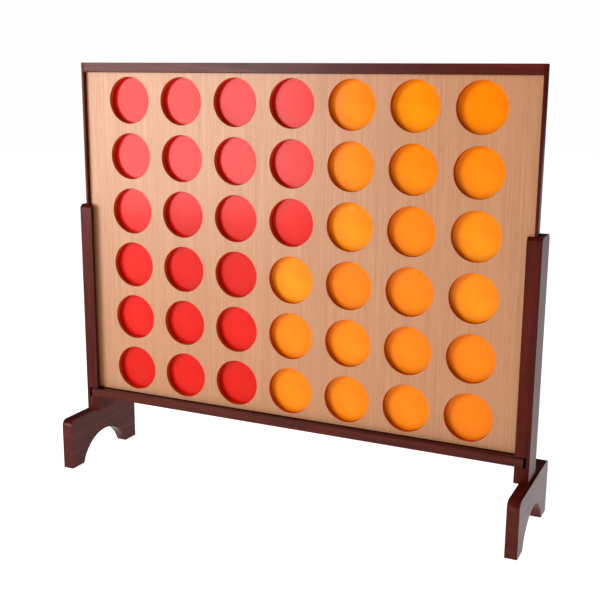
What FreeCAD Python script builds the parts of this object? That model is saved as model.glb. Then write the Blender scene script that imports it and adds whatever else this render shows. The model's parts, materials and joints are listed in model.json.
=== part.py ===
import FreeCAD, Part
import os

# Giant four in a row: a standing lawn game. A board of two holed panels, spaced apart by
# dividers, stands in the grooved posts of two legs. Discs drop into the columns from the top
# and stack on a release bar that lies in a notch in each post.
# Millimetres. +Z is up, +X is the players' right, and the front faces -Y.
# The origin is on the ground under the middle of the object.

V = FreeCAD.Vector

# ---------------------------------------------------------------- driving dimensions

# Playing grid
COLUMNS = 7
ROWS = 6

# Discs
DISC_DIAMETER = 138.6
DISC_THICKNESS = 11.0
DISC_RIM_RADIUS = 2.0        # rounding of both rims
DISC_SIDE_GAP = 1.2          # disc to divider, each side
DISC_FACE_GAP = 2.5          # disc to panel, each face
DISC_STACK_GAP = 0.4         # disc to disc, and lowest disc to release bar

# Board
PANEL_THICKNESS = 14.0
FRAME_RISE = 10.0            # front rail and edge strips stand this far before the panel
HOLE_LAP = 11.8              # width of the disc's rim that the panel covers round a hole
DIVIDER_WIDTH = 9.0
DIVIDER_LEAD_IN = 3.0        # sloped top edges that guide a disc into its column
STILE_WIDTH = 58.5           # from the outer column to the panels' end
EDGE_STRIP_WIDTH = 7.0       # strip glued along the front panel's end
EDGE_STRIP_DEPTH = 16.0
HEADROOM = 22.2              # full column to the board's top
RAIL_HEIGHT = 23.0

# Screws through the back panel
SCREW_DIAMETER = 4.0
SCREW_HEAD_DIAMETER = 8.0
SCREW_HEAD_DEPTH = 2.5
SCREW_BITE = 12.0            # depth in the divider or stile
SCREW_ROWS = 4
SCREW_EDGE_INSET = 22.0      # first and last screw row to the panel's end
SCREW_SLOT_WIDTH = 1.0       # arms of the cross recess
SCREW_SLOT_LENGTH = 4.4
SCREW_SLOT_DEPTH = 1.2

# Release bar
BAR_HEIGHT = 22.0
BAR_BACK_OVERLAP = 1.5       # bar's back edge behind the disc's back face
BAR_TO_BOARD_GAP = 2.0       # slit between the bar and the board above it
BAR_END_GAP = 6.0            # end of the bar to the notch's end wall

# Posts
POST_LENGTH = 558.5
POST_CHEEK = 9.0             # wood in front of and behind the groove
POST_WEB = 12.5              # wood outside the groove's floor
GROOVE_DEPTH = 21.0          # how far the board's end reaches into the post
GROOVE_FACE_GAP = 0.05       # board's face to the groove's wall, each side
GROOVE_END_GAP = 0.5         # board's end to the groove's floor
POST_TOP_CHAMFER = 8.0
NOTCH_WEB = 8.0              # wood outside the notch's end wall
NOTCH_FLOOR_HEIGHT = 38.55   # notch floor above the post's lower end
NOTCH_FLOOR_GAP = 0.3        # bar's underside to the notch floor
NOTCH_BACK_GAP = 5.0         # bar's back edge to the notch's back wall

# Feet
FOOT_LENGTH = 290.0
FOOT_HEIGHT = 132.0
FOOT_THICKNESS = 28.5
FOOT_SET_OUT = 12.0          # foot's inner face outside the post's inner face
FOOT_CORNER_RADIUS = 16.0
PAD_LENGTH = 49.0            # flat underside at each end of the foot
ARCH_HEIGHT = 67.0

# Bolts up through the foot into threaded inserts in the post
BOLT_DIAMETER = 6.0
BOLT_HEAD_DIAMETER = 11.0
BOLT_HEAD_HEIGHT = 5.0
BOLT_SOCKET_WIDTH = 4.0      # across the flats of the hexagon socket
BOLT_SOCKET_DEPTH = 2.5
BOLT_HOLE_GAP = 0.5          # bolt to the hole in the foot
BOLT_RECESS_GAP = 2.0        # bolt head to the wall of its counterbore
BOLT_SPACING = 40.0
BOLT_SEAT_DEPTH = 8.0        # seat of the bolt head above the crown of the arch
BOLT_BITE = 13.0             # thread in the insert
INSERT_DIAMETER = 10.0
INSERT_LENGTH = 15.0
INSERT_BORE_GAP = 0.1        # bolt to the insert's bore

# ---------------------------------------------------------------- sizes that follow

DISC_RADIUS = DISC_DIAMETER / 2
HOLE_RADIUS = DISC_RADIUS - HOLE_LAP
COLUMN_PITCH = DISC_DIAMETER + 2 * DISC_SIDE_GAP + DIVIDER_WIDTH
ROW_PITCH = DISC_DIAMETER + DISC_STACK_GAP
SLOT_HALF = DISC_THICKNESS / 2 + DISC_FACE_GAP
PANEL_FACE_Y = SLOT_HALF + PANEL_THICKNESS
BOARD_FRONT_Y = -PANEL_FACE_Y - FRAME_RISE
BOARD_BACK_Y = PANEL_FACE_Y

STILE_INNER_X = (COLUMNS * COLUMN_PITCH - DIVIDER_WIDTH) / 2
PANEL_END_X = STILE_INNER_X + STILE_WIDTH
BOARD_END_X = PANEL_END_X + EDGE_STRIP_WIDTH

GROOVE_FRONT_Y = BOARD_FRONT_Y - GROOVE_FACE_GAP
GROOVE_BACK_Y = BOARD_BACK_Y + GROOVE_FACE_GAP
POST_FRONT_Y = GROOVE_FRONT_Y - POST_CHEEK
POST_BACK_Y = GROOVE_BACK_Y + POST_CHEEK
POST_INNER_X = BOARD_END_X - GROOVE_DEPTH
GROOVE_FLOOR_X = BOARD_END_X + GROOVE_END_GAP
POST_OUTER_X = GROOVE_FLOOR_X + POST_WEB
POST_TOP_Z = FOOT_HEIGHT + POST_LENGTH
FOOT_INNER_X = POST_INNER_X + FOOT_SET_OUT
FOOT_OUTER_X = FOOT_INNER_X + FOOT_THICKNESS

NOTCH_FLOOR_Z = FOOT_HEIGHT + NOTCH_FLOOR_HEIGHT
NOTCH_END_X = POST_OUTER_X - NOTCH_WEB
BAR_BOTTOM_Z = NOTCH_FLOOR_Z + NOTCH_FLOOR_GAP
BAR_TOP_Z = BAR_BOTTOM_Z + BAR_HEIGHT
BAR_HALF_LENGTH = NOTCH_END_X - BAR_END_GAP
BAR_BACK_Y = DISC_THICKNESS / 2 + BAR_BACK_OVERLAP

BOARD_BOTTOM_Z = BAR_TOP_Z + BAR_TO_BOARD_GAP
FIRST_ROW_Z = BAR_TOP_Z + DISC_STACK_GAP + DISC_RADIUS
BOARD_TOP_Z = FIRST_ROW_Z + (ROWS - 1) * ROW_PITCH + DISC_RADIUS + HEADROOM
RAIL_BOTTOM_Z = BOARD_TOP_Z - RAIL_HEIGHT

BOLT_X = (FOOT_INNER_X + POST_OUTER_X) / 2
BOLT_SEAT_Z = ARCH_HEIGHT + BOLT_SEAT_DEPTH
INSERT_HOLE_DEPTH = max(INSERT_LENGTH, BOLT_BITE)

SIDES = {"left": -1, "right": 1}

# How far a cutting solid runs past the face that it cuts through
CUT_PAST = 1.0


# ---------------------------------------------------------------- helpers

def box(x0, x1, y0, y1, z0, z1):
    """A block between two values on each axis, in any order."""
    low = V(min(x0, x1), min(y0, y1), min(z0, z1))
    return Part.makeBox(abs(x1 - x0), abs(y1 - y0), abs(z1 - z0), low)


def prism(points, direction):
    """A closed outline of points, pushed along a vector."""
    outline = Part.makePolygon(points + [points[0]])
    return Part.Face(outline).extrude(direction)


def upright_rod(radius, x, y, z0, z1):
    """A round rod along Z."""
    return Part.makeCylinder(radius, z1 - z0, V(x, y, z0), V(0, 0, 1))


def column_x(column):
    """Centre of a column, counted from 1 at the left."""
    return (column - (COLUMNS + 1) / 2) * COLUMN_PITCH


def row_z(row):
    """Centre height of a row, counted from 1 at the bottom."""
    return FIRST_ROW_Z + (row - 1) * ROW_PITCH


def divider_xs():
    """Centre lines of the dividers, one between each two columns."""
    return [column_x(column) + COLUMN_PITCH / 2 for column in range(1, COLUMNS)]


def screw_places():
    """(x, z) of each screw: an upright line of them in each divider and each stile."""
    stile_x = (STILE_INNER_X + PANEL_END_X) / 2
    low = BOARD_BOTTOM_Z + SCREW_EDGE_INSET
    high = RAIL_BOTTOM_Z - SCREW_EDGE_INSET
    step = (high - low) / (SCREW_ROWS - 1)
    xs = [-stile_x] + divider_xs() + [stile_x]
    return [(x, low + row * step) for x in xs for row in range(SCREW_ROWS)]


# ---------------------------------------------------------------- board

def screw_body(x, z):
    """A countersunk screw without its recess, driven forwards from the back panel's face."""
    forwards = V(0, -1, 0)
    head = Part.makeCone(SCREW_HEAD_DIAMETER / 2, SCREW_DIAMETER / 2, SCREW_HEAD_DEPTH,
                         V(x, PANEL_FACE_Y, z), forwards)
    length = PANEL_THICKNESS + SCREW_BITE
    shank = Part.makeCylinder(SCREW_DIAMETER / 2, length - SCREW_HEAD_DEPTH,
                              V(x, PANEL_FACE_Y - SCREW_HEAD_DEPTH, z), forwards)
    return head.fuse(shank)


def screw(x, z):
    """The countersunk screw with its cross recess."""
    half_width = SCREW_SLOT_WIDTH / 2
    half_length = SCREW_SLOT_LENGTH / 2
    y0 = PANEL_FACE_Y - SCREW_SLOT_DEPTH
    y1 = PANEL_FACE_Y + CUT_PAST
    across = box(x - half_length, x + half_length, y0, y1, z - half_width, z + half_width)
    upright = box(x - half_width, x + half_width, y0, y1, z - half_length, z + half_length)
    return screw_body(x, z).cut([across, upright])


def screw_bodies():
    """All the screws as cutting solids."""
    return [screw_body(x, z) for x, z in screw_places()]


def holed_panel(y0, y1):
    """A panel with a round hole in front of every disc."""
    panel = box(-PANEL_END_X, PANEL_END_X, y0, y1, BOARD_BOTTOM_Z, RAIL_BOTTOM_Z)
    depth = abs(y1 - y0) + 2 * CUT_PAST
    start = min(y0, y1) - CUT_PAST
    holes = [
        Part.makeCylinder(HOLE_RADIUS, depth, V(column_x(column), start, row_z(row)), V(0, 1, 0))
        for column in range(1, COLUMNS + 1)
        for row in range(1, ROWS + 1)
    ]
    return panel.cut(holes)


def top_rail(y0, y1):
    """The strip along the top of a panel, from end to end."""
    return box(-PANEL_END_X, PANEL_END_X, y0, y1, RAIL_BOTTOM_Z, BOARD_TOP_Z)


def stile(side):
    """The strip between the panels at one end of the board."""
    blank = box(side * STILE_INNER_X, side * PANEL_END_X, -SLOT_HALF, SLOT_HALF,
                BOARD_BOTTOM_Z, BOARD_TOP_Z)
    return blank.cut(screw_bodies())


def edge_strip(side):
    """The upright strip that frames the front panel's end."""
    return box(side * PANEL_END_X, side * BOARD_END_X, BOARD_FRONT_Y, BOARD_FRONT_Y + EDGE_STRIP_DEPTH,
               BOARD_BOTTOM_Z, BOARD_TOP_Z)


def divider(x):
    """The strip between two columns, with a sloped top on each side."""
    half = DIVIDER_WIDTH / 2
    shoulder_z = BOARD_TOP_Z - DIVIDER_LEAD_IN
    outline = [
        V(x - half, -SLOT_HALF, BOARD_BOTTOM_Z),
        V(x + half, -SLOT_HALF, BOARD_BOTTOM_Z),
        V(x + half, -SLOT_HALF, shoulder_z),
        V(x + half - DIVIDER_LEAD_IN, -SLOT_HALF, BOARD_TOP_Z),
        V(x - half + DIVIDER_LEAD_IN, -SLOT_HALF, BOARD_TOP_Z),
        V(x - half, -SLOT_HALF, shoulder_z),
    ]
    own_screws = [screw_body(sx, sz) for sx, sz in screw_places() if abs(sx - x) < half]
    return prism(outline, V(0, 2 * SLOT_HALF, 0)).cut(own_screws)


# ---------------------------------------------------------------- discs and release bar

def disc(column, row):
    """A flat round disc with rounded rims, standing on edge in its column."""
    centre = V(column_x(column), -DISC_THICKNESS / 2, row_z(row))
    blank = Part.makeCylinder(DISC_RADIUS, DISC_THICKNESS, centre, V(0, 1, 0))
    rims = [edge for edge in blank.Edges if isinstance(edge.Curve, Part.Circle)]
    return blank.makeFillet(DISC_RIM_RADIUS, rims)


def disc_colour(column, row):
    """Red on the left half, orange on the right, and the middle column shared."""
    middle = (COLUMNS + 1) / 2
    if column == middle:
        return "red" if row > ROWS / 2 else "orange"
    return "red" if column < middle else "orange"


def release_bar():
    """The bar that the stacks stand on."""
    return box(-BAR_HALF_LENGTH, BAR_HALF_LENGTH, POST_FRONT_Y, BAR_BACK_Y,
               BAR_BOTTOM_Z, BAR_TOP_Z)


# ---------------------------------------------------------------- legs

def bolt_ys():
    """The two bolts of a leg, in front of and behind its middle."""
    return [-BOLT_SPACING / 2, BOLT_SPACING / 2]


def post(side):
    """The upright, with a groove for the board's end and a notch for the release bar."""
    shoulder_z = POST_TOP_Z - POST_TOP_CHAMFER
    crown_front_y = POST_FRONT_Y + POST_TOP_CHAMFER
    crown_back_y = POST_BACK_Y - POST_TOP_CHAMFER
    inner_x = side * POST_INNER_X
    outline = [
        V(inner_x, POST_FRONT_Y, FOOT_HEIGHT),
        V(inner_x, POST_BACK_Y, FOOT_HEIGHT),
        V(inner_x, POST_BACK_Y, shoulder_z),
        V(inner_x, crown_back_y, POST_TOP_Z),
        V(inner_x, crown_front_y, POST_TOP_Z),
        V(inner_x, POST_FRONT_Y, shoulder_z),
    ]
    blank = prism(outline, V(side * (POST_OUTER_X - POST_INNER_X), 0, 0))

    mouth_x = inner_x - side * CUT_PAST
    groove = box(mouth_x, side * GROOVE_FLOOR_X, GROOVE_FRONT_Y, GROOVE_BACK_Y,
                 BOARD_BOTTOM_Z, POST_TOP_Z + CUT_PAST)
    notch = box(mouth_x, side * NOTCH_END_X, POST_FRONT_Y - CUT_PAST,
                BAR_BACK_Y + NOTCH_BACK_GAP, NOTCH_FLOOR_Z, BOARD_BOTTOM_Z)
    insert_holes = [
        upright_rod(INSERT_DIAMETER / 2, side * BOLT_X, y, FOOT_HEIGHT - CUT_PAST,
                    FOOT_HEIGHT + INSERT_HOLE_DEPTH)
        for y in bolt_ys()
    ]
    return blank.cut([groove, notch] + insert_holes)


def foot(side):
    """The arched foot under a post, with two counterbored bolt holes."""
    half = FOOT_LENGTH / 2
    arch_half = half - PAD_LENGTH
    radius = FOOT_CORNER_RADIUS
    bend = radius * (1 - 0.5 ** 0.5)
    x = side * FOOT_INNER_X

    def at(y, z):
        return V(x, y, z)

    edges = [
        Part.makeLine(at(-half, 0), at(-half, FOOT_HEIGHT - radius)),
        Part.Arc(at(-half, FOOT_HEIGHT - radius), at(-half + bend, FOOT_HEIGHT - bend),
                 at(-half + radius, FOOT_HEIGHT)).toShape(),
        Part.makeLine(at(-half + radius, FOOT_HEIGHT), at(half - radius, FOOT_HEIGHT)),
        Part.Arc(at(half - radius, FOOT_HEIGHT), at(half - bend, FOOT_HEIGHT - bend),
                 at(half, FOOT_HEIGHT - radius)).toShape(),
        Part.makeLine(at(half, FOOT_HEIGHT - radius), at(half, 0)),
        Part.makeLine(at(half, 0), at(arch_half, 0)),
        Part.Arc(at(arch_half, 0), at(0, ARCH_HEIGHT), at(-arch_half, 0)).toShape(),
        Part.makeLine(at(-arch_half, 0), at(-half, 0)),
    ]
    blank = Part.Face(Part.Wire(edges)).extrude(V(side * FOOT_THICKNESS, 0, 0))

    hole_radius = BOLT_DIAMETER / 2 + BOLT_HOLE_GAP
    recess_radius = BOLT_HEAD_DIAMETER / 2 + BOLT_RECESS_GAP
    cuts = []
    for y in bolt_ys():
        cuts.append(upright_rod(hole_radius, side * BOLT_X, y, 0, FOOT_HEIGHT + CUT_PAST))
        cuts.append(upright_rod(recess_radius, side * BOLT_X, y, 0, BOLT_SEAT_Z))
    return blank.cut(cuts)


def leg_bolt(side, y):
    """A bolt with a hexagon socket, its head seated in the foot's counterbore."""
    x = side * BOLT_X
    head_z = BOLT_SEAT_Z - BOLT_HEAD_HEIGHT
    head = upright_rod(BOLT_HEAD_DIAMETER / 2, x, y, head_z, BOLT_SEAT_Z)
    shank = upright_rod(BOLT_DIAMETER / 2, x, y, BOLT_SEAT_Z, FOOT_HEIGHT + BOLT_BITE)
    corner = BOLT_SOCKET_WIDTH / 3 ** 0.5
    half_flat = BOLT_SOCKET_WIDTH / 2
    z = head_z - CUT_PAST
    hexagon = [
        V(x + corner, y, z),
        V(x + corner / 2, y + half_flat, z),
        V(x - corner / 2, y + half_flat, z),
        V(x - corner, y, z),
        V(x - corner / 2, y - half_flat, z),
        V(x + corner / 2, y - half_flat, z),
    ]
    socket = prism(hexagon, V(0, 0, BOLT_SOCKET_DEPTH + CUT_PAST))
    return head.fuse(shank).cut(socket)


def leg_insert(side, y):
    """A threaded sleeve in the post's lower end."""
    x = side * BOLT_X
    sleeve = upright_rod(INSERT_DIAMETER / 2, x, y, FOOT_HEIGHT, FOOT_HEIGHT + INSERT_LENGTH)
    bore = upright_rod(BOLT_DIAMETER / 2 + INSERT_BORE_GAP, x, y, FOOT_HEIGHT - CUT_PAST,
                       FOOT_HEIGHT + INSERT_LENGTH + CUT_PAST)
    return sleeve.cut(bore)


# ---------------------------------------------------------------- the whole object

def all_parts():
    """Every named piece, by node name."""
    parts = {
        "front_panel": holed_panel(-PANEL_FACE_Y, -SLOT_HALF),
        "back_panel": holed_panel(SLOT_HALF, PANEL_FACE_Y).cut(screw_bodies()),
        "front_top_rail": top_rail(BOARD_FRONT_Y, -SLOT_HALF),
        "back_top_rail": top_rail(SLOT_HALF, BOARD_BACK_Y),
        "front_edge_strips": Part.makeCompound([edge_strip(side) for side in SIDES.values()]),
        "column_dividers": Part.makeCompound([divider(x) for x in divider_xs()]),
        "back_panel_screws": Part.makeCompound([screw(x, z) for x, z in screw_places()]),
        "release_bar": release_bar(),
    }
    for name, side in SIDES.items():
        parts[name + "_stile"] = stile(side)
        parts[name + "_post"] = post(side)
        parts[name + "_foot"] = foot(side)
        parts[name + "_leg_bolts"] = Part.makeCompound([leg_bolt(side, y) for y in bolt_ys()])
        parts[name + "_leg_inserts"] = Part.makeCompound([leg_insert(side, y) for y in bolt_ys()])
    for column in range(1, COLUMNS + 1):
        for row in range(1, ROWS + 1):
            name = "%s_disc_c%d_r%d" % (disc_colour(column, row), column, row)
            parts[name] = disc(column, row)
    return parts


os.makedirs("parts", exist_ok=True)
for node, shape in all_parts().items():
    shape.exportStep("parts/" + node + ".step")
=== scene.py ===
import json
import math

import bmesh
import bpy
from mathutils import Euler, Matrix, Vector


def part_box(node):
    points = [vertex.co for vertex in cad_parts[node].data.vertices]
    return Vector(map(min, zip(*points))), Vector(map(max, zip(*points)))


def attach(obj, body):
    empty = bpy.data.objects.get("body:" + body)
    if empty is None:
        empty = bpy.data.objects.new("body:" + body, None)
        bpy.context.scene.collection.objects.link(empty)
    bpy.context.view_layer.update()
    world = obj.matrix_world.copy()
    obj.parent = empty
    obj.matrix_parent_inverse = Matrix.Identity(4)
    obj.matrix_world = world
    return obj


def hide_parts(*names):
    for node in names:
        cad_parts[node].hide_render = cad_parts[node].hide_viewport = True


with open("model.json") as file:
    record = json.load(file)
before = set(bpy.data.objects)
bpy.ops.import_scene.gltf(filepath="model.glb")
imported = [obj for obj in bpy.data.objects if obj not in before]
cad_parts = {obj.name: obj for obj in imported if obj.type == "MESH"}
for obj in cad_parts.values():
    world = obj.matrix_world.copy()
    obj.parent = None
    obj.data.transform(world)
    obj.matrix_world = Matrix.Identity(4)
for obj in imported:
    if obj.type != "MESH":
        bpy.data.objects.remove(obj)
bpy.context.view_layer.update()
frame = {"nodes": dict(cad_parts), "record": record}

# Looks of the giant four in a row. Metres, +Z up, the front faces -Y.

BODY_OF = {node: body for body, nodes in frame["record"]["behaviour"]["bodies"].items() for node in nodes}
DISCS = sorted(node for node in frame["nodes"] if "_disc_" in node)


# ---------------------------------------------------------------- sizes

HOLE_LAP = 0.0118            # disc rim that the panel covers round a window
WINDOW_BEVEL = 0.0009
WINDOW_POINTS = 24           # steps in each quarter of a window
WINDOW_BEVEL_STEPS = 2
FACE_NORMAL = 0.35           # a panel's polygons that face more along Y than this are veneer
WOOD_BEVEL = 0.0012
RAIL_BEVEL = 0.0010
DIVIDER_BEVEL = 0.0004
DISC_RIM_RADIUS = 0.0022
DISC_RIM_STEPS = 6
DISC_SIDES = 128
DISC_DISH_DEPTH = 0.0005     # shallow moulded step inside the rim, hidden behind the panel
DISC_DISH_INSET = 0.0060
DISC_STEP_WIDTH = 0.0008
DISC_SHARP_ANGLE = 40        # degrees

MERGE_DISTANCE = 0.00001     # points of a CAD mesh that are closer are one point
PANEL_MERGE_DISTANCE = 0.000005
COPLANAR_ANGLE = math.radians(0.5)
ROUNDED_ANGLE = math.radians(30)    # sharper edges than this are rounded
SMOOTH_ANGLE = 35            # degrees between faces that shade as one surface
FLAT_FACE_AREA = 0.0001      # larger level or upright faces are shaded flat
SQUARE_NORMAL = 0.9999       # a face is level or upright when one part of its normal passes this

NOISE_TURN = (0.6, 0.5, 0.8)    # radians, so that no face lies along the noise's own grid
MIX_FACTOR = 0               # socket numbers of a mix node
MIX_VALUES = (2, 3)
MIX_COLOURS = (6, 7)
MIX_COLOUR_RESULT = 2


# ---------------------------------------------------------------- node helpers

class Nodes:
    """A short way to write a node tree."""

    def __init__(self, tree):
        self.tree = tree
        tree.nodes.clear()

    def add(self, kind, **settings):
        node = self.tree.nodes.new(kind)
        for name, value in settings.items():
            setattr(node, name, value)
        return node

    def link(self, source, target):
        self.tree.links.new(source, target)

    def coordinates(self, scale):
        """Object coordinates in metres, stretched along each axis and turned off the noise's own grid."""
        texture = self.add("ShaderNodeTexCoord")
        mapping = self.add("ShaderNodeMapping")
        mapping.inputs["Scale"].default_value = scale
        mapping.inputs["Rotation"].default_value = NOISE_TURN
        self.link(texture.outputs["Object"], mapping.inputs["Vector"])
        return mapping.outputs["Vector"]

    def noise(self, scale, detail=4.0, roughness=0.55, distortion=0.0):
        """Noise, with a number of cells in each metre along each axis."""
        vector = self.coordinates(scale)
        node = self.add("ShaderNodeTexNoise")
        node.inputs["Scale"].default_value = 1.0
        node.inputs["Detail"].default_value = detail
        node.inputs["Roughness"].default_value = roughness
        node.inputs["Distortion"].default_value = distortion
        self.link(vector, node.inputs["Vector"])
        return node.outputs["Fac"]

    def ramp(self, source, stops):
        """A colour ramp. Each stop is a place and a colour."""
        node = self.add("ShaderNodeValToRGB")
        elements = node.color_ramp.elements
        while len(elements) < len(stops):
            elements.new(0.5)
        for element, (place, colour) in zip(elements, stops):
            element.position = place
            element.color = colour
        self.link(source, node.inputs["Fac"])
        return node.outputs["Color"]

    def mix(self, factor, first, second):
        """A colour mix. Each argument is a socket or a plain value."""
        node = self.add("ShaderNodeMix", data_type="RGBA")
        for value, number in zip((factor, first, second), (MIX_FACTOR, *MIX_COLOURS)):
            if isinstance(value, bpy.types.NodeSocket):
                self.link(value, node.inputs[number])
            else:
                node.inputs[number].default_value = value
        return node.outputs[MIX_COLOUR_RESULT]

    def span(self, source, low, high, from_low=0.0, from_high=1.0):
        """The source's range, from_low to from_high, stretched to low to high."""
        node = self.add("ShaderNodeMapRange")
        node.inputs["From Min"].default_value = from_low
        node.inputs["From Max"].default_value = from_high
        node.inputs["To Min"].default_value = low
        node.inputs["To Max"].default_value = high
        self.link(source, node.inputs["Value"])
        return node.outputs["Result"]

    def bump(self, height, strength, distance, normal=None):
        node = self.add("ShaderNodeBump")
        node.inputs["Strength"].default_value = strength
        node.inputs["Distance"].default_value = distance
        self.link(height, node.inputs["Height"])
        if normal is not None:
            self.link(normal, node.inputs["Normal"])
        return node.outputs["Normal"]

    def finish(self, colour, roughness, normal, **plain):
        """The surface shader. Plain settings go straight on its sockets."""
        shader = self.add("ShaderNodeBsdfPrincipled")
        output = self.add("ShaderNodeOutputMaterial")
        self.link(colour, shader.inputs["Base Color"])
        self.link(roughness, shader.inputs["Roughness"])
        self.link(normal, shader.inputs["Normal"])
        for name, value in plain.items():
            shader.inputs[name.replace("_", " ")].default_value = value
        self.link(shader.outputs["BSDF"], output.inputs["Surface"])


def srgb(red, green, blue):
    """A linear colour from 0-255 display values."""
    def linear(value):
        part = value / 255
        return part / 12.92 if part <= 0.04045 else ((part + 0.055) / 1.055) ** 2.4
    return (linear(red), linear(green), linear(blue), 1.0)


def new_material(name):
    material = bpy.data.materials.new(name)
    material.use_nodes = True
    return material, Nodes(material.node_tree)


# ---------------------------------------------------------------- materials

def veneer_material():
    """Light beech veneer: fine upright grain, short dark pores and broad slow bands."""
    material, n = new_material("beech_veneer")
    fibre = n.noise((420, 60, 7), detail=5.0, roughness=0.6)
    streak = n.noise((110, 20, 1.6), detail=4.0, roughness=0.55, distortion=0.4)
    band = n.noise((7, 2, 0.5), detail=2.0)
    pores = n.noise((900, 300, 42), detail=2.0, roughness=0.5)
    base = n.ramp(streak, [(0.25, srgb(176, 121, 82)),
                           (0.5, srgb(188, 132, 91)),
                           (0.78, srgb(197, 145, 104))])
    with_fibre = n.mix(n.span(fibre, 0.0, 0.75, 0.35, 0.75), base, srgb(164, 106, 68))
    with_band = n.mix(n.span(band, 0.0, 0.25, 0.35, 0.7), with_fibre, srgb(190, 133, 88))
    pore_mask = n.span(pores, 0.0, 0.65, 0.60, 0.72)
    colour = n.mix(pore_mask, with_band, srgb(150, 98, 66))
    roughness = n.span(fibre, 0.30, 0.44, 0.3, 0.7)
    normal = n.bump(fibre, 0.10, 0.0003, n.bump(pores, 0.08, 0.0002))
    n.finish(colour, roughness, normal, Specular_IOR_Level=0.38)
    return material


def disc_bounce_window_edge_material():
    """The cut edge of the sheet board, with its ply layers, in a red-orange that paints in the red light
    bounced off the discs.
    """
    material, n = new_material("window_edge_painted_bounce")
    layers = n.noise((6, 900, 6), detail=1.0)
    mottle = n.noise((120, 120, 120), detail=3.0)
    # painted bounce light: the saturated red-orange stands for disc colour thrown onto the shaded window
    # walls, not the plain ply's own colour
    base = n.ramp(layers, [(0.38, srgb(190, 62, 22)), (0.5, srgb(206, 78, 28)), (0.62, srgb(172, 52, 18))])
    colour = n.mix(n.span(mottle, 0.0, 0.35, 0.4, 0.7), base, srgb(150, 40, 16))
    roughness = n.span(mottle, 0.50, 0.70, 0.3, 0.7)
    normal = n.bump(layers, 0.2, 0.0003)
    n.finish(colour, roughness, normal, Specular_IOR_Level=0.2)
    return material


def lining_material():
    """Plain pale wood between the panels."""
    material, n = new_material("slot_lining_wood")
    fibre = n.noise((260, 260, 6), detail=4.0)
    patch = n.noise((12, 12, 2), detail=2.0)
    base = n.ramp(fibre, [(0.3, srgb(192, 146, 106)), (0.7, srgb(220, 178, 138))])
    colour = n.mix(n.span(patch, 0.0, 0.4, 0.35, 0.7), base, srgb(186, 138, 98))
    roughness = n.span(fibre, 0.50, 0.68, 0.3, 0.7)
    n.finish(colour, roughness, n.bump(fibre, 0.15, 0.0004))
    return material


def grain_scale(axis, across, along):
    """Noise scales for a grain that runs along one axis."""
    scale = [across, across, across]
    scale[axis] = along
    return scale


def mahogany_material(name, axis, shine):
    """Mahogany stain under gloss varnish. The grain runs along one axis."""
    material, n = new_material(name)
    fibre = n.noise(grain_scale(axis, 520.0, 12.0), detail=4.0, roughness=0.6)
    figure = n.noise(grain_scale(axis, 70.0, 2.2), detail=5.0, roughness=0.6, distortion=0.8)
    cloud = n.noise((9, 9, 9), detail=2.0)
    base = n.ramp(figure, [(0.28, srgb(54, 10, 5)), (0.5, srgb(76, 18, 8)), (0.74, srgb(100, 33, 16))])
    with_fibre = n.mix(n.span(fibre, 0.0, 0.5, 0.40, 0.72), base, srgb(38, 6, 5))
    colour = n.mix(n.span(cloud, 0.0, 0.3, 0.4, 0.7), with_fibre, srgb(92, 24, 14))
    roughness = n.span(fibre, 0.26, 0.38, 0.3, 0.7)
    ripple = n.noise((22, 22, 22), detail=1.0)
    normal = n.bump(fibre, 0.10, 0.0003, n.bump(ripple, 0.06, 0.002))
    n.finish(colour, roughness, normal, Specular_IOR_Level=shine, Coat_Weight=0.03, Coat_Roughness=0.12)
    return material


def plastic_material(name, deep, bright):
    """Gloss moulded plastic, with slow tint changes and a faint flow ripple."""
    material, n = new_material(name)
    info = n.add("ShaderNodeObjectInfo")
    tint = n.noise((14, 14, 14), detail=2.0)
    specks = n.noise((700, 700, 700), detail=1.0)
    ripple = n.noise((16, 16, 16), detail=1.0)
    base = n.mix(n.span(tint, 0.2, 0.8, 0.3, 0.7), deep, bright)
    colour = n.mix(n.span(info.outputs["Random"], 0.0, 0.75), base, deep)
    roughness = n.span(specks, 0.13, 0.20, 0.3, 0.7)
    normal = n.bump(ripple, 0.05, 0.001, n.bump(specks, 0.03, 0.0002))
    n.finish(colour, roughness, normal, Specular_IOR_Level=0.12)
    return material


def metal_material(name, dark, light, low, high):
    """Plated metal with turned marks and a little dirt."""
    material, n = new_material(name)
    marks = n.noise((1800, 300, 1800), detail=2.0)
    dirt = n.noise((400, 400, 400), detail=3.0)
    base = n.ramp(marks, [(0.3, dark), (0.7, light)])
    colour = n.mix(n.span(dirt, 0.0, 0.4, 0.5, 0.75), base, dark)
    roughness = n.span(marks, low, high, 0.3, 0.7)
    n.finish(colour, roughness, n.bump(marks, 0.1, 0.0001), Metallic=1.0)
    return material


X_AXIS, Y_AXIS, Z_AXIS = 0, 1, 2
VENEER = veneer_material()
WINDOW_EDGE_PAINTED_BOUNCE = disc_bounce_window_edge_material()
LINING = lining_material()
WOOD_LENGTHWAYS = mahogany_material("mahogany_along_board", X_AXIS, 0.12)
WOOD_UPRIGHT = mahogany_material("mahogany_upright", Z_AXIS, 0.06)
WOOD_FOOT = mahogany_material("mahogany_foot", Y_AXIS, 0.12)
RED = plastic_material("red_disc_plastic", srgb(206, 18, 8), srgb(232, 32, 14))
ORANGE = plastic_material("orange_disc_plastic", srgb(248, 118, 0), srgb(255, 164, 4))
STEEL = metal_material("zinc_steel", srgb(140, 138, 134), srgb(205, 203, 198), 0.28, 0.42)
BRASS = metal_material("insert_brass_metal", srgb(160, 120, 60), srgb(214, 176, 100), 0.28, 0.4)


# ---------------------------------------------------------------- mesh helpers

def new_object(name, data):
    thing = bpy.data.objects.new(name, data)
    bpy.context.scene.collection.objects.link(thing)
    return thing


def add_piece(name, mesh, node, place=(0, 0, 0)):
    """A piece that stands for a CAD node, in place and riding on its body."""
    piece = new_object(name, mesh)
    piece.location = place
    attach(piece, BODY_OF[node])
    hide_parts(node)


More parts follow.
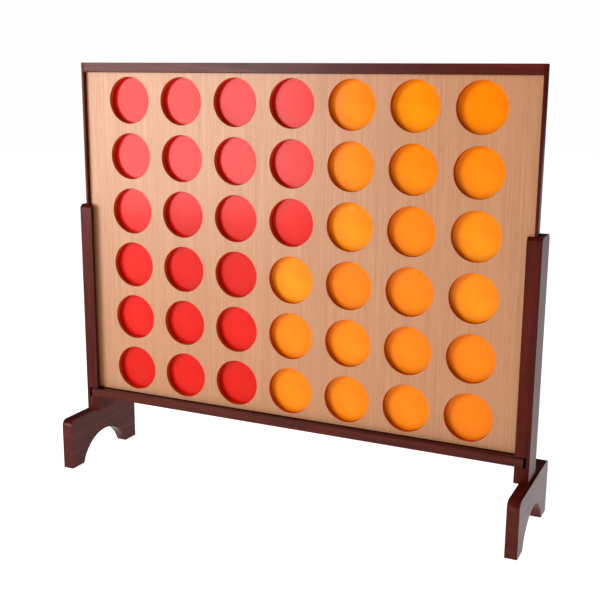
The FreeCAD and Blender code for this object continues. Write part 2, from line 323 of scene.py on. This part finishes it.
def smooth_by_angle(mesh, degrees=SMOOTH_ANGLE, flat_area=FLAT_FACE_AREA):
    """Smooth shading that keeps sharp edges, and keeps level or upright faces above an area quite flat."""
    for polygon in mesh.polygons:
        polygon.use_smooth = True
    mesh.set_sharp_from_angle(angle=math.radians(degrees))
    for polygon in mesh.polygons:
        square = max(abs(part) for part in polygon.normal) > SQUARE_NORMAL
        polygon.use_smooth = not (square and polygon.area > flat_area)


def softened(node, name, material, bevel, segments=3):
    """The CAD node's own shape with its sharp edges rounded."""
    shape = bmesh.new()
    shape.from_mesh(frame["nodes"][node].data)
    bmesh.ops.remove_doubles(shape, verts=shape.verts, dist=MERGE_DISTANCE)
    bmesh.ops.dissolve_limit(shape, angle_limit=COPLANAR_ANGLE, verts=shape.verts, edges=shape.edges)
    sharp = [edge for edge in shape.edges
             if len(edge.link_faces) == 2 and edge.calc_face_angle(0) > ROUNDED_ANGLE]
    bmesh.ops.bevel(shape, geom=sharp, offset=bevel, segments=segments, profile=0.5,
                    affect="EDGES", clamp_overlap=True, miter_outer="ARC")
    mesh = bpy.data.meshes.new(name)
    shape.to_mesh(mesh)
    shape.free()
    mesh.materials.clear()
    mesh.materials.append(material)
    smooth_by_angle(mesh)
    add_piece(name, mesh, node)


# ---------------------------------------------------------------- panels

def add_circle(curve, x, z, radius):
    """A round window in a flat curve, drawn against the outline's direction."""
    handle = 4 / 3 * math.tan(math.pi / 8) * radius
    corners = ((radius, 0, 0, handle), (0, -radius, handle, 0),
               (-radius, 0, 0, -handle), (0, radius, -handle, 0))
    spline = curve.splines.new("BEZIER")
    spline.bezier_points.add(len(corners) - 1)
    spline.use_cyclic_u = True
    for point, (px, pz, hx, hz) in zip(spline.bezier_points, corners):
        point.co = (x + px, z + pz, 0)
        point.handle_left = (x + px + hx, z + pz + hz, 0)
        point.handle_right = (x + px - hx, z + pz - hz, 0)


def add_rectangle(curve, x0, x1, z0, z1):
    spline = curve.splines.new("POLY")
    corners = ((x0, z0), (x1, z0), (x1, z1), (x0, z1))
    spline.points.add(len(corners) - 1)
    spline.use_cyclic_u = True
    for point, (x, z) in zip(spline.points, corners):
        point.co = (x, z, 0, 1)


def panel(node):
    """A holed panel: veneered faces, window edges in a red-orange that paints in light bounced off the
    discs, and a dark stained outline.
    """
    low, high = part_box(node)
    half_depth = (high.y - low.y) / 2
    curve = bpy.data.curves.new(node + "_outline", "CURVE")
    curve.dimensions = "2D"
    curve.fill_mode = "BOTH"
    curve.resolution_u = WINDOW_POINTS
    curve.extrude = half_depth - WINDOW_BEVEL
    curve.bevel_depth = WINDOW_BEVEL
    curve.bevel_resolution = WINDOW_BEVEL_STEPS
    curve.offset = -WINDOW_BEVEL
    add_rectangle(curve, low.x, high.x, low.z, high.z)
    for disc in DISCS:
        disc_low, disc_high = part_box(disc)
        radius = (disc_high.x - disc_low.x) / 2 - HOLE_LAP
        add_circle(curve, (disc_low.x + disc_high.x) / 2, (disc_low.z + disc_high.z) / 2, radius)
    maker = new_object(node + "_maker", curve)
    bpy.context.view_layer.update()
    mesh = bpy.data.meshes.new_from_object(maker.evaluated_get(bpy.context.evaluated_depsgraph_get()))
    bpy.data.objects.remove(maker)
    middle_y = (high.y + low.y) / 2
    for vertex in mesh.vertices:
        x, z, depth = vertex.co
        vertex.co = (x, middle_y - depth, z)
    shape = bmesh.new()
    shape.from_mesh(mesh)
    bmesh.ops.remove_doubles(shape, verts=shape.verts, dist=PANEL_MERGE_DISTANCE)
    bmesh.ops.recalc_face_normals(shape, faces=shape.faces)
    shape.to_mesh(mesh)
    shape.free()
    mesh.materials.clear()
    mesh.materials.append(VENEER)
    mesh.materials.append(WINDOW_EDGE_PAINTED_BOUNCE)
    mesh.materials.append(WOOD_UPRIGHT)
    smooth_by_angle(mesh, flat_area=0)
    for polygon in mesh.polygons:
        x, _, z = polygon.center
        inset = min(x - low.x, high.x - x, z - low.z, high.z - z)
        if abs(polygon.normal.y) > FACE_NORMAL:
            polygon.material_index = 0
        elif inset > WINDOW_BEVEL:
            polygon.material_index = 1
        else:
            polygon.material_index = 2
    add_piece(node.replace("panel", "holed_board"), mesh, node)


for node in ("front_panel", "back_panel"):
    panel(node)


# ---------------------------------------------------------------- frame, bar and legs

for node in ("front_top_rail", "back_top_rail"):
    softened(node, node + "_moulding", WOOD_LENGTHWAYS, RAIL_BEVEL)
softened("front_edge_strips", "front_edge_mouldings", WOOD_UPRIGHT, RAIL_BEVEL)
softened("release_bar", "release_bar_rail", WOOD_LENGTHWAYS, WOOD_BEVEL)
softened("column_dividers", "column_divider_strips", LINING, DIVIDER_BEVEL, segments=2)
for side in ("left", "right"):
    softened(side + "_stile", side + "_stile_edge", WOOD_UPRIGHT, RAIL_BEVEL)
    softened(side + "_post", side + "_post_upright", WOOD_UPRIGHT, WOOD_BEVEL)
    softened(side + "_foot", side + "_foot_arch", WOOD_FOOT, WOOD_BEVEL)


# ---------------------------------------------------------------- discs

def disc_mesh(name, material, radius, thickness):
    """A turned disc: rounded rims and a shallow step inside each rim."""
    dish_y = thickness / 2 - DISC_DISH_DEPTH
    step = radius - DISC_DISH_INSET
    profile = [(0.0, dish_y),
               (step - 2 * DISC_STEP_WIDTH, dish_y),
               (step - DISC_STEP_WIDTH, dish_y),
               (step, thickness / 2),
               (step + DISC_STEP_WIDTH, thickness / 2)]
    for index in range(DISC_RIM_STEPS + 1):
        angle = math.pi / 2 * index / DISC_RIM_STEPS
        profile.append((radius - DISC_RIM_RADIUS + DISC_RIM_RADIUS * math.sin(angle),
                        thickness / 2 - DISC_RIM_RADIUS + DISC_RIM_RADIUS * math.cos(angle)))
    profile += [(r, -y) for r, y in reversed(profile)]
    angles = [2 * math.pi * k / DISC_SIDES for k in range(DISC_SIDES)]
    shape = bmesh.new()
    rings = []
    for r, y in profile:
        if r == 0.0:
            rings.append([shape.verts.new((0, y, 0))])
        else:
            rings.append([shape.verts.new((r * math.cos(a), y, r * math.sin(a))) for a in angles])
    for ring, following in zip(rings, rings[1:]):
        for k in range(DISC_SIDES):
            after = (k + 1) % DISC_SIDES
            if len(ring) == 1:
                shape.faces.new((ring[0], following[k], following[after]))
            elif len(following) == 1:
                shape.faces.new((ring[k], ring[after], following[0]))
            else:
                shape.faces.new((ring[k], ring[after], following[after], following[k]))
    bmesh.ops.recalc_face_normals(shape, faces=shape.faces)
    mesh = bpy.data.meshes.new(name)
    shape.to_mesh(mesh)
    shape.free()
    mesh.materials.append(material)
    smooth_by_angle(mesh, DISC_SHARP_ANGLE)
    return mesh


sample_low, sample_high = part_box(DISCS[0])
DISC_SIZES = ((sample_high.x - sample_low.x) / 2, sample_high.y - sample_low.y)
DISC_MESHES = {"red": disc_mesh("red_disc_shape", RED, *DISC_SIZES),
               "orange": disc_mesh("orange_disc_shape", ORANGE, *DISC_SIZES)}
for node in DISCS:
    low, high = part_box(node)
    colour = node.split("_")[0]
    add_piece(node.replace("_disc_", "_game_disc_"), DISC_MESHES[colour], node, (low + high) / 2)


# ---------------------------------------------------------------- metal

METAL_OF = {"back_panel_screws": STEEL, "left_leg_bolts": STEEL, "right_leg_bolts": STEEL,
            "left_leg_inserts": BRASS, "right_leg_inserts": BRASS}
for node, metal in METAL_OF.items():
    materials = frame["nodes"][node].data.materials
    materials.clear()
    materials.append(metal)


# ---------------------------------------------------------------- floor, lights and camera

FLOOR_GLOW = 0.82            # a lit table, so that the floor stays pale far from the lamps


def floor_material():
    material, n = new_material("pale_floor")
    cloud = n.noise((3, 3, 3), detail=2.0)
    colour = n.ramp(cloud, [(0.3, (0.93, 0.93, 0.93, 1)), (0.7, (0.95, 0.95, 0.95, 1))])
    n.finish(colour, n.span(cloud, 0.7, 0.8), n.bump(cloud, 0.02, 0.001), Specular_IOR_Level=0.1,
             Emission_Color=(1, 1, 1, 1), Emission_Strength=FLOOR_GLOW)
    return material


FLOOR_RADIUS = 12.0
FLOOR_SIDES = 96
FLOOR_DROP = 0.0005          # keeps the floor just clear of the feet
floor_shape = bmesh.new()
bmesh.ops.create_circle(floor_shape, cap_ends=True, segments=FLOOR_SIDES, radius=FLOOR_RADIUS)
floor_mesh = bpy.data.meshes.new("floor")
floor_shape.to_mesh(floor_mesh)
floor_shape.free()
floor_mesh.materials.append(floor_material())
floor = new_object("floor", floor_mesh)
floor.location.z = -FLOOR_DROP


def softbox(name, place, target, width, height, power, glare):
    """A rectangular studio light, aimed at a point. It gives either soft light or only glare."""
    light = bpy.data.lights.new(name, "AREA")
    light.shape = "RECTANGLE"
    light.size = width
    light.size_y = height
    light.energy = power
    lamp = new_object(name, light)
    lamp.location = place
    lamp.rotation_euler = (Vector(target) - Vector(place)).to_track_quat("-Z", "Y").to_euler()
    lamp.visible_camera = False
    lamp.visible_diffuse = not glare
    lamp.visible_glossy = glare


softbox("left_window", (-2.45, -3.35, 1.0), (-0.2, 0, 0.85), width=1.9, height=1.7, power=132, glare=True)
softbox("left_key", (-2.3, -3.3, 1.9), (0, 0, 0.6), width=1.8, height=1.8, power=128, glare=False)
softbox("overhead", (0.6, 0.8, 4.6), (0, 0.2, 0), width=4.0, height=4.0, power=46, glare=False)

# The camera sees a white backdrop. Everything else is lit by a softer grey one.
BACKDROP = 0.99
AMBIENT_DIFFUSE = 0.19
AMBIENT_GLOSSY = 0.05
world = bpy.data.worlds.new("studio")
bpy.context.scene.world = world
world.use_nodes = True
sky = Nodes(world.node_tree)
rays = sky.add("ShaderNodeLightPath")
ambient = sky.span(rays.outputs["Is Glossy Ray"], AMBIENT_DIFFUSE, AMBIENT_GLOSSY)
strength = sky.add("ShaderNodeMix", data_type="FLOAT")
sky.link(rays.outputs["Is Camera Ray"], strength.inputs[MIX_FACTOR])
sky.link(ambient, strength.inputs[MIX_VALUES[0]])
strength.inputs[MIX_VALUES[1]].default_value = BACKDROP
background = sky.add("ShaderNodeBackground")
background.inputs["Color"].default_value = (1, 1, 1, 1)
sky.link(strength.outputs[0], background.inputs["Strength"])
world_output = sky.add("ShaderNodeOutputWorld")
sky.link(background.outputs["Background"], world_output.inputs["Surface"])

CAMERA_AZIMUTH = math.radians(25.06)
CAMERA_ELEVATION = math.radians(12.59)
CAMERA_ROLL = 0.0073         # radians
CAMERA_PLACE = (1.0292, -2.1693, 1.0240)
CAMERA_SENSOR_WIDTH = 36.0   # millimetres, as for the lens
CAMERA_LENS = 60.642
CAMERA_FAR_LIMIT = 100

camera_data = bpy.data.cameras.new("camera")
camera_data.sensor_width = CAMERA_SENSOR_WIDTH
camera_data.lens = CAMERA_LENS
camera_data.clip_end = CAMERA_FAR_LIMIT
camera = new_object("camera", camera_data)
camera.location = CAMERA_PLACE
aim = Euler((math.pi / 2 - CAMERA_ELEVATION, 0, CAMERA_AZIMUTH), "XYZ").to_matrix()
roll = Euler((0, 0, CAMERA_ROLL), "XYZ").to_matrix()
camera.rotation_euler = (aim @ roll).to_euler()
bpy.context.scene.camera = camera

scene = bpy.context.scene
scene.view_settings.view_transform = "Standard"
scene.view_settings.look = "None"
